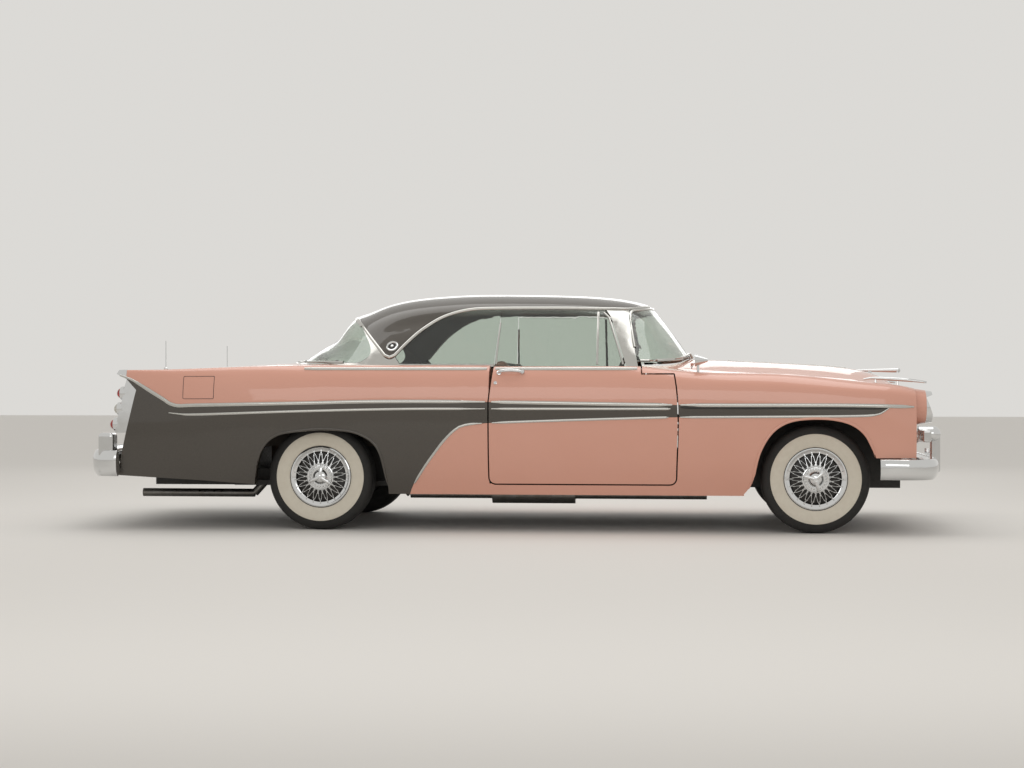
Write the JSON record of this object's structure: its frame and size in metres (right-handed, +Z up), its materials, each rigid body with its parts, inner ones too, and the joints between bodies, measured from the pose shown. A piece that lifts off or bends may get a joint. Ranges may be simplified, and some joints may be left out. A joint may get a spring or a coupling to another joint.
{
  "type": "two-door hardtop car of the middle 1950s",
  "caption": "Full-size two-door hardtop passenger car with rear fins, wraparound glass, opening doors, hood and deck lid, steering and turning wheels.",
  "frame": {"origin": "on the ground below the middle of the car", "axes": "+X forward, +Y to the left of the car, +Z up"},
  "size_m": [5.611, 1.9901, 1.5662],
  "materials": {
    "tyre": "black rubber with a wide white side band",
    "chrome": "bright plated metal",
    "window_glass": "clear glass with a faint green tint",
    "lamp_glass": "ribbed clear glass",
    "red_lens": "red lamp glass",
    "taupe_paint": "charcoal brown metallic paint",
    "coral_paint": "coral pink gloss paint",
    "chassis_black": "black chassis paint",
    "cast_iron": "painted cast iron",
    "bare_steel": "plain steel",
    "upholstery": "woven cloth and vinyl",
    "moulded_rim": "moulded rim",
    "primer_black": "dark sheet metal"
  },
  "bodies": {
    "root": {"antennas": "chrome", "backlight_glass": "window_glass", "chassis_frame": "chassis_black", "cowl": "coral_paint", "dashboard": "coral_paint", "driveline": "chassis_black", "engine_block": "cast_iron", "exhaust_system": "bare_steel", "floor_pan": "primer_black", "front_bumper": "chrome", "front_lamp_glasses": "lamp_glass", "front_seat": "upholstery", "front_suspension": "chassis_black", "front_wing_left": "coral_paint", "front_wing_right": "coral_paint", "fuel_tank": "bare_steel", "grille": "chrome", "headlamp_rims": "chrome", "inner_panels": "primer_black", "nose_panel": "coral_paint", "quarter_glass": "window_glass", "rear_axle": "chassis_black", "rear_bumper": "chrome", "rear_deck": "coral_paint", "rear_quarter_left": "coral_paint", "rear_quarter_right": "coral_paint", "rear_seat": "upholstery", "rear_springs": "chassis_black", "roof": "taupe_paint", "roof_feet": "chrome", "sills": "coral_paint", "steering_column": "chassis_black", "tail_lamp_lenses": "red_lens", "tail_lamp_towers": "chrome", "tail_panel": "coral_paint", "trunk_posts": "bare_steel", "windshield_glass": "window_glass", "windshield_pillars": "chrome", "wing_mirrors": "chrome"},
    "knuckle_left": {"knuckle_left": "chassis_black"},
    "knuckle_right": {"knuckle_right": "chassis_black"},
    "tie_rod": {"tie_rod": "chassis_black"},
    "wheel_front_left": {"tyre_front_left": "tyre", "wheel_front_left": "chrome"},
    "wheel_front_right": {"tyre_front_right": "tyre", "wheel_front_right": "chrome"},
    "wheel_rear_left": {"tyre_rear_left": "tyre", "wheel_rear_left": "chrome"},
    "wheel_rear_right": {"tyre_rear_right": "tyre", "wheel_rear_right": "chrome"},
    "door_left": {"door_left": "coral_paint", "door_glass_left": "window_glass"},
    "door_right": {"door_right": "coral_paint", "door_glass_right": "window_glass"},
    "hood": {"hood": "coral_paint", "hood_ornament": "chrome"},
    "deck_lid": {"deck_lid": "coral_paint"},
    "steering_wheel": {"steering_wheel": "moulded_rim"}
  },
  "joints": [
    {"name": "steering_right", "type": "hinge", "parent": "root", "child": "knuckle_right", "pos_m": [1.98, -0.6505, 0.347], "axis": [0, 0, 1], "range_deg": [-32, 32]},
    {"name": "steering_left", "type": "hinge", "parent": "root", "child": "knuckle_left", "pos_m": [1.98, 0.6505, 0.347], "axis": [0, 0, 1], "range_deg": [-32, 32]},
    {"name": "tie_rod_swing", "type": "hinge", "parent": "knuckle_right", "child": "tie_rod", "pos_m": [1.83, -0.6505, 0.2469], "axis": [0, 0, 1], "range_deg": [-32, 32]},
    {"name": "steering_wheel_turn", "type": "hinge", "parent": "root", "child": "steering_wheel", "pos_m": [0.64, 0.37, 0.96], "axis": [-0.8829, 0, 0.4695], "range_deg": [-520, 520]},
    {"name": "spin_front_right", "type": "hinge", "parent": "knuckle_right", "child": "wheel_front_right", "pos_m": [1.98, -0.7665, 0.347], "axis": [0, 1, 0], "continuous": true},
    {"name": "spin_front_left", "type": "hinge", "parent": "knuckle_left", "child": "wheel_front_left", "pos_m": [1.98, 0.7665, 0.347], "axis": [0, 1, 0], "continuous": true},
    {"name": "spin_rear_right", "type": "hinge", "parent": "root", "child": "wheel_rear_right", "pos_m": [-1.22, -0.757, 0.347], "axis": [0, 1, 0], "continuous": true},
    {"name": "spin_rear_left", "type": "hinge", "parent": "root", "child": "wheel_rear_left", "pos_m": [-1.22, 0.757, 0.347], "axis": [0, 1, 0], "continuous": true},
    {"name": "door_left_swing", "type": "hinge", "parent": "root", "child": "door_left", "pos_m": [1.05, 0.948, 0.745], "axis": [0, 0, -1], "range_deg": [0, 62]},
    {"name": "door_right_swing", "type": "hinge", "parent": "root", "child": "door_right", "pos_m": [1.05, -0.948, 0.745], "axis": [0, 0, 1], "range_deg": [0, 62]},
    {"name": "hood_lift", "type": "hinge", "parent": "root", "child": "hood", "pos_m": [1.315, 0, 1], "axis": [0, -1, 0], "range_deg": [0, 50]},
    {"name": "deck_lid_lift", "type": "hinge", "parent": "root", "child": "deck_lid", "pos_m": [-1.665, 0, 1], "axis": [0, 1, 0], "range_deg": [0, 60]}
  ],
  "couplings": [
    {"joint": "steering_left", "follows": "steering_right", "ratio": 1},
    {"joint": "tie_rod_swing", "follows": "steering_right", "ratio": -1},
    {"joint": "steering_wheel_turn", "follows": "steering_right", "ratio": 16}
  ]
}
